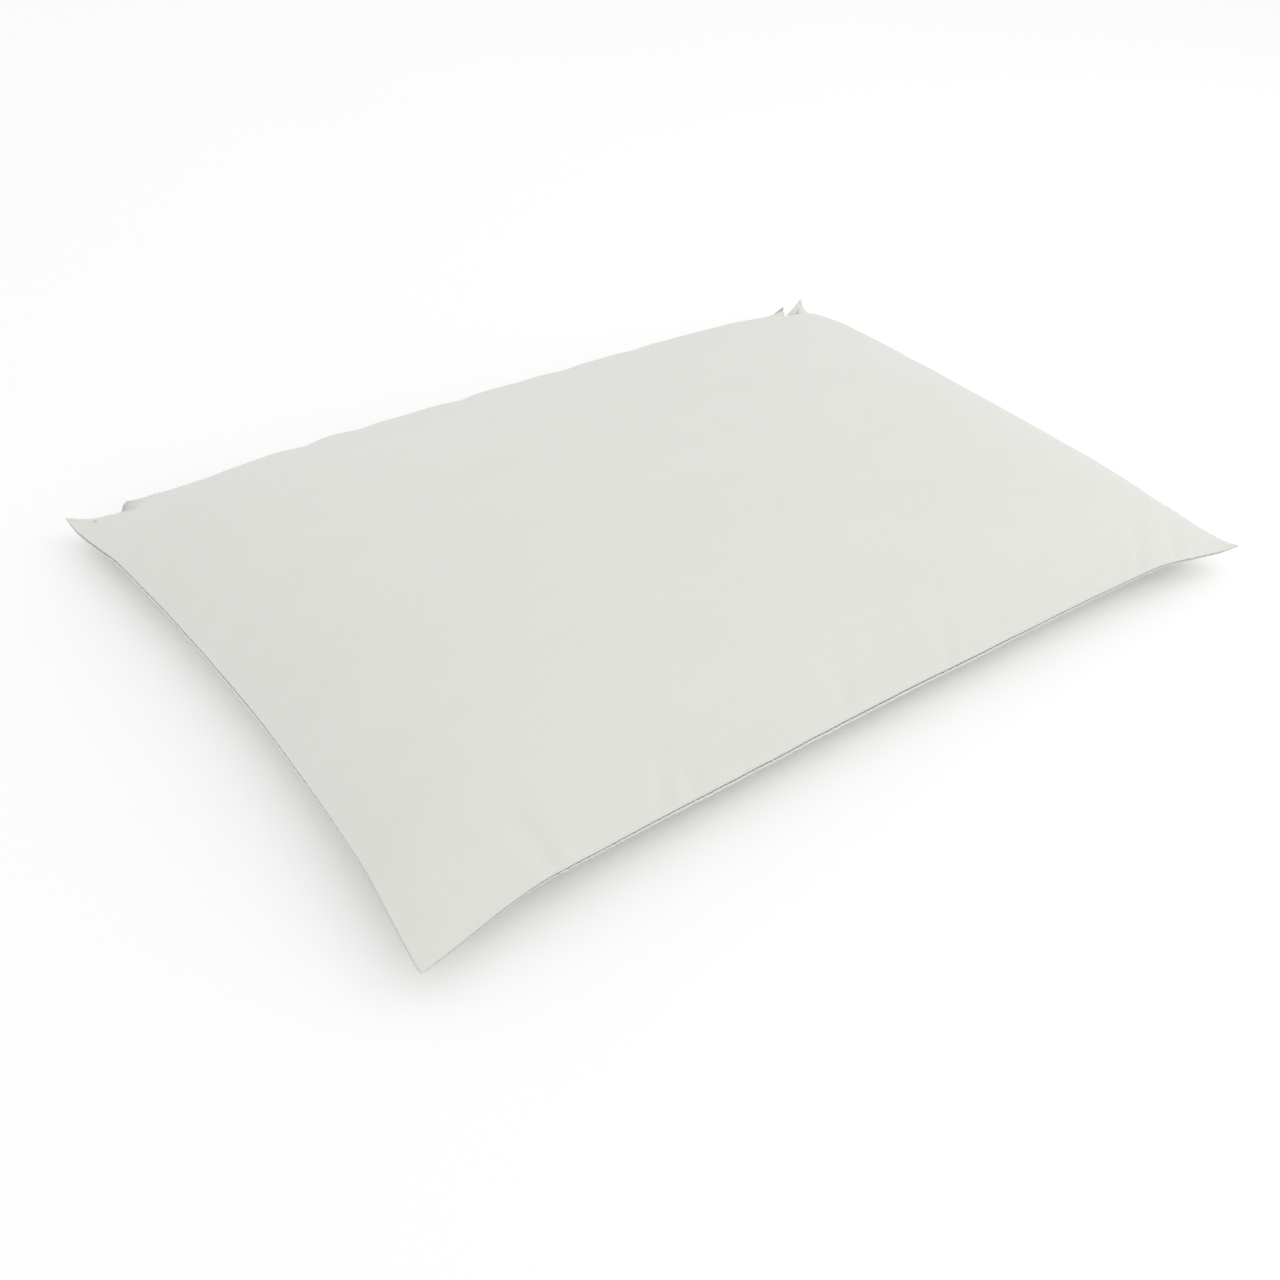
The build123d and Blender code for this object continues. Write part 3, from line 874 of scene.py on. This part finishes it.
# ---------- blank care label, inside the left seam ----------
labelSpec = {
    "cells": (7, 19),
    "shift": 0.6,             # moved in by this share of the ends' pull
    "wave": 0.0006,
    "turns": 90.0,            # radians of its wave to a metre
    "colour": (0.83, 0.83, 0.82),
    "pitch": 0.0008,
}
labelX = np.linspace(labelLow.x, labelHigh.x, labelSpec["cells"][0]) + coverSpec["endPull"] * labelSpec["shift"]
labelY = np.linspace(labelLow.y, labelHigh.y, labelSpec["cells"][1])
labelPlaces = np.meshgrid(labelX, labelY, indexing="ij")
flatLabel = np.stack([*labelPlaces, np.full(labelSpec["cells"], labelLow.z)], -1)
flatLabel[..., 2] += labelSpec["wave"] * np.sin((flatLabel[..., 1] - labelLow.y) * labelSpec["turns"])
label = closedSheet("label", flatLabel, 1, labelHigh.z - labelLow.z, flatLabel[..., :2].reshape(-1, 2))
label.data.materials.append(wovenMaterial("label_tape", labelSpec["colour"], labelSpec["pitch"]))
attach(label, "pillow")
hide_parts("care_label")
print("label made")


# ---------- bed, light and air ----------
lightSpec = {
    "air": 0.985,
    "airColour": (1.0, 1.0, 1.0),
    "floor": (0.97, 0.97, 0.97),
    "key": 3.6,
    "keyAt": (1.1, -0.7, 1.0),
    "keySize": 1.2,
    "aim": (0.0, 0.0, 0.04),
    "floorHalf": 15.0,
}


def flatMaterial(name, colour):
    """Plain matte surface with a faint cloudiness."""
    material, tree, shader = newMaterial(name, {"Roughness": 0.9})
    place = makeNode(tree, "ShaderNodeTexCoord", output=3)
    cloud = makeNode(tree, "ShaderNodeTexNoise", None, {"Vector": place, "Scale": 3.0})
    lower = tuple(c * 0.99 for c in colour)
    mixed = mixColours(tree, cloud, lower, colour)
    tree.links.new(mixed.output, shader.inputs["Base Color"])
    return material


reach = lightSpec["floorHalf"]
floorPoints = [(-reach, -reach, 0), (reach, -reach, 0), (reach, reach, 0), (-reach, reach, 0)]
floor = meshObject("floor", floorPoints, [(0, 1, 2, 3)], smooth=False)
floor.data.materials.append(flatMaterial("floor", lightSpec["floor"]))
air = bpy.data.worlds.new("air")
air.use_nodes = True
background = air.node_tree.nodes["Background"]
background.inputs["Color"].default_value = lightSpec["airColour"] + (1,)
background.inputs["Strength"].default_value = lightSpec["air"]
scene.world = air
lampData = bpy.data.lights.new("key", "AREA")
lampData.shape = "SQUARE"
lampData.size = lightSpec["keySize"]
lampData.energy = lightSpec["key"]
lamp = bpy.data.objects.new("key", lampData)
scene.collection.objects.link(lamp)
lamp.location = lightSpec["keyAt"]
aim = Vector(lightSpec["aim"]) - Vector(lightSpec["keyAt"])
lamp.rotation_euler = aim.to_track_quat("-Z", "Y").to_euler()
scene.view_settings.view_transform = "Standard"
print("light set")
